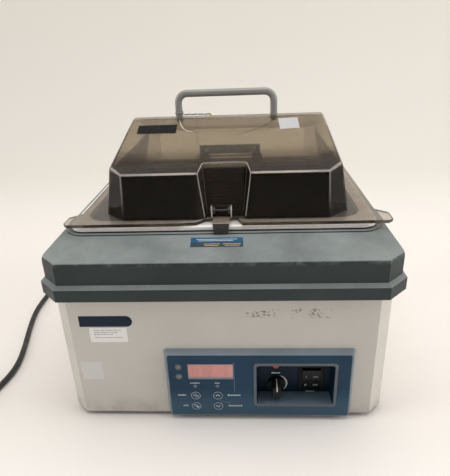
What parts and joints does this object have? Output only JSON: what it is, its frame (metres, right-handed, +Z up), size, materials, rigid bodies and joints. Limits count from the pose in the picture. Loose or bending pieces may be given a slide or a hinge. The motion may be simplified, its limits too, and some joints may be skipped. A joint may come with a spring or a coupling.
{
  "type": "laboratory water bath",
  "caption": "Heated steel tank in a painted case with a moulded deck, a hinged gabled see-through cover, a front control panel and a coiled mains lead.",
  "frame": {"origin": "on the bench under the middle of the deck, at the bottom of the feet", "axes": "+Z up, -Y the front with the control panel, +X to the right of someone facing the front"},
  "size_m": [0.573, 0.5625, 0.329],
  "materials": {
    "board_laminate": "varnished",
    "brass_pillar": "turned",
    "case_paint": "smooth satin pale grey paint with scuffs",
    "catch_steel": "dark folded sheet with bright edges",
    "collar_rubber": "matt",
    "cord_rubber": "matt sheath",
    "cover_plastic": "smoke-brown clear sheet, scratched",
    "deck_plastic": "fine-grained dark grey-green moulding",
    "film_print": "blue printed film",
    "foam": "cellular",
    "foot_rubber": "matt",
    "gasket_rubber": "matt",
    "handle_paint": "grey satin coating on bent bar",
    "heater_silicone": "matt",
    "hinge_steel": "folded stainless",
    "key_film": "blue, printed with a pale ring and sign",
    "knob_plastic": "moulded",
    "lamp_lens": "faceted lens",
    "lamp_plastic": "translucent grey",
    "module_plastic": "moulded",
    "panel_plastic": "satin grey-blue moulding",
    "plug_rubber": "moulded",
    "probe_steel": "plain",
    "relay_aluminium": "finned",
    "rocker_plastic": "moulded",
    "screw_steel": "plain",
    "switch_plastic": "moulded",
    "tank_steel": "drawn and wiped stainless",
    "terminal_plastic": "moulded",
    "thermostat_body": "plain",
    "transformer_core": "laminated and varnished",
    "tray_steel": "perforated stainless",
    "well_plastic": "satin dark blue moulding with a grey edge",
    "window_plastic": "red filter, lit from behind",
    "zinc_sheet": "dull zinc"
  },
  "bodies": {
    "bath": {"outer_case": "case_paint", "base_plate": "zinc_sheet", "rubber_feet": "foot_rubber", "foot_screws": "screw_steel", "top_deck": "deck_plastic", "deck_brackets": "zinc_sheet", "deck_screws": "screw_steel", "tank": "tank_steel", "tank_gasket": "gasket_rubber", "heater_pad": "heater_silicone", "insulation_jacket": "foam", "jacket_rails": "foam", "temperature_probes": "probe_steel", "perforated_tray": "tray_steel", "control_panel": "panel_plastic", "panel_screws": "screw_steel", "panel_film": "film_print", "display_window": "window_plastic", "display_module": "module_plastic", "status_lamps": "lamp_plastic", "set_lamps": "lamp_plastic", "key_switches": "module_plastic", "control_board": "board_laminate", "board_pillars": "brass_pillar", "control_well": "well_plastic", "cutout_lamp": "lamp_lens", "cutout_thermostat": "thermostat_body", "switch_housing": "switch_plastic", "rocker_axle": "switch_plastic", "transformer": "transformer_core", "heater_relay": "relay_aluminium", "terminal_block": "terminal_plastic", "hinge_bracket": "hinge_steel", "bracket_screws": "screw_steel", "hinge_pin": "screw_steel", "cord_gland": "cord_rubber", "power_cord": "cord_rubber", "cord_coil": "cord_rubber", "mains_plug": "plug_rubber"},
    "lid": {"lid_cover": "cover_plastic", "lid_handle": "handle_paint", "handle_collars": "collar_rubber", "handle_nuts": "screw_steel", "hinge_leaf": "hinge_steel", "leaf_screws": "screw_steel", "leaf_nuts": "screw_steel", "catch_bracket": "catch_steel", "catch_pin": "screw_steel"},
    "catch": {"front_catch": "catch_steel"},
    "knob": {"cutout_knob": "knob_plastic", "thermostat_shaft": "probe_steel"},
    "rocker": {"power_rocker": "rocker_plastic"},
    "key_mode": {"mode_key": "key_film"},
    "key_up": {"up_key": "key_film"},
    "key_enter": {"enter_key": "key_film"},
    "key_down": {"down_key": "key_film"}
  },
  "joints": [
    {"name": "lid_hinge", "type": "hinge", "parent": "bath", "child": "lid", "pos_m": [0.002, 0.1505, 0.2142], "axis": [-1, 0, 0], "range_deg": [0, 95]},
    {"name": "catch_pivot", "type": "hinge", "parent": "lid", "child": "catch", "pos_m": [0.00065, -0.108, 0.2197], "axis": [-1, 0, 0], "range_deg": [0, 75]},
    {"name": "cutout_turn", "type": "hinge", "parent": "bath", "child": "knob", "pos_m": [0.0563, -0.1598, 0.035], "axis": [0, 1, 0], "range_deg": [-140, 140]},
    {"name": "power_rock", "type": "hinge", "parent": "bath", "child": "rocker", "pos_m": [0.0939, -0.1542, 0.0435], "axis": [-1, 0, 0], "range_deg": [0, 14]},
    {"name": "key_mode_press", "type": "slide", "parent": "bath", "child": "key_mode", "axis": [0, 1, 0], "range_m": [0, 0.0005], "stiffness_N_per_m": 400},
    {"name": "key_up_press", "type": "slide", "parent": "bath", "child": "key_up", "axis": [0, 1, 0], "range_m": [0, 0.0005], "stiffness_N_per_m": 400},
    {"name": "key_enter_press", "type": "slide", "parent": "bath", "child": "key_enter", "axis": [0, 1, 0], "range_m": [0, 0.0005], "stiffness_N_per_m": 400},
    {"name": "key_down_press", "type": "slide", "parent": "bath", "child": "key_down", "axis": [0, 1, 0], "range_m": [0, 0.0005], "stiffness_N_per_m": 400}
  ]
}
